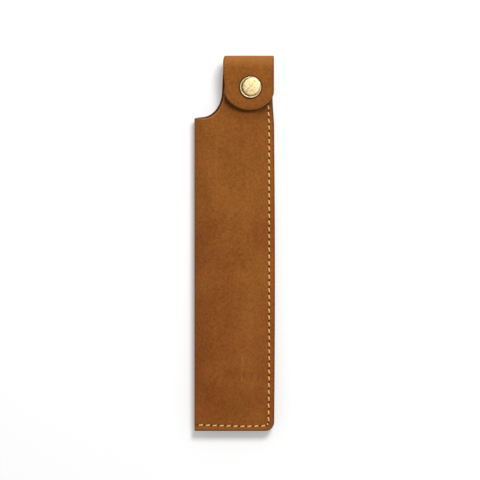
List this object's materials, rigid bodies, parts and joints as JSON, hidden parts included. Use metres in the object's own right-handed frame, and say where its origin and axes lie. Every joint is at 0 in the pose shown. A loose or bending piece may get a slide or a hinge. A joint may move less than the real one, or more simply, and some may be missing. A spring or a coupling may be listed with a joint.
{
  "type": "single pen sleeve",
  "caption": "Slim folded leather pen sleeve, sewn along its bottom and side, with a cut-away mouth and a strap flap that bends over the top and closes with a brass snap.",
  "frame": {"origin": "middle of the sleeve's box, on the surface that its back lies on", "axes": "+Z out of the front panel, +Y along the sleeve to the flap's end, +X from the fold to the sewn side"},
  "size_m": [0.035, 0.165, 0.0157],
  "materials": {
    "leather": "brushed nubuck, waxed, darker along the edges",
    "brass": "pale polished plate",
    "spring_steel": "drawn wire",
    "thread": "waxed twisted thread"
  },
  "bodies": {
    "sleeve": {"sleeve_body": "leather", "snap_post": "brass", "snap_stud": "brass", "needle_thread": "thread", "bobbin_thread": "thread"},
    "fold_lower": {"flap_fold_lower": "leather"},
    "fold_upper": {"flap_fold_upper": "leather"},
    "flap": {"flap": "leather", "snap_socket": "brass", "snap_spring": "spring_steel", "cap_rivet": "brass", "snap_cap": "brass"}
  },
  "joints": [
    {"name": "flap_fold", "type": "hinge", "parent": "sleeve", "child": "fold_lower", "pos_m": [0.00665, 0.07982, 0.0041], "axis": [-1, 0, 0], "range_deg": [0, 60], "stiffness_Nm_per_rad": 0.01},
    {"name": "flap_fold_crest", "type": "hinge", "parent": "fold_lower", "child": "fold_upper", "pos_m": [0.00665, 0.0825, 0.00874], "axis": [-1, 0, 0], "range_deg": [0, 60], "stiffness_Nm_per_rad": 0.01},
    {"name": "flap_fold_end", "type": "hinge", "parent": "fold_upper", "child": "flap", "pos_m": [0.00665, 0.07982, 0.01338], "axis": [-1, 0, 0], "range_deg": [0, 60], "stiffness_Nm_per_rad": 0.01, "deforming": ["snap_spring"]}
  ]
}
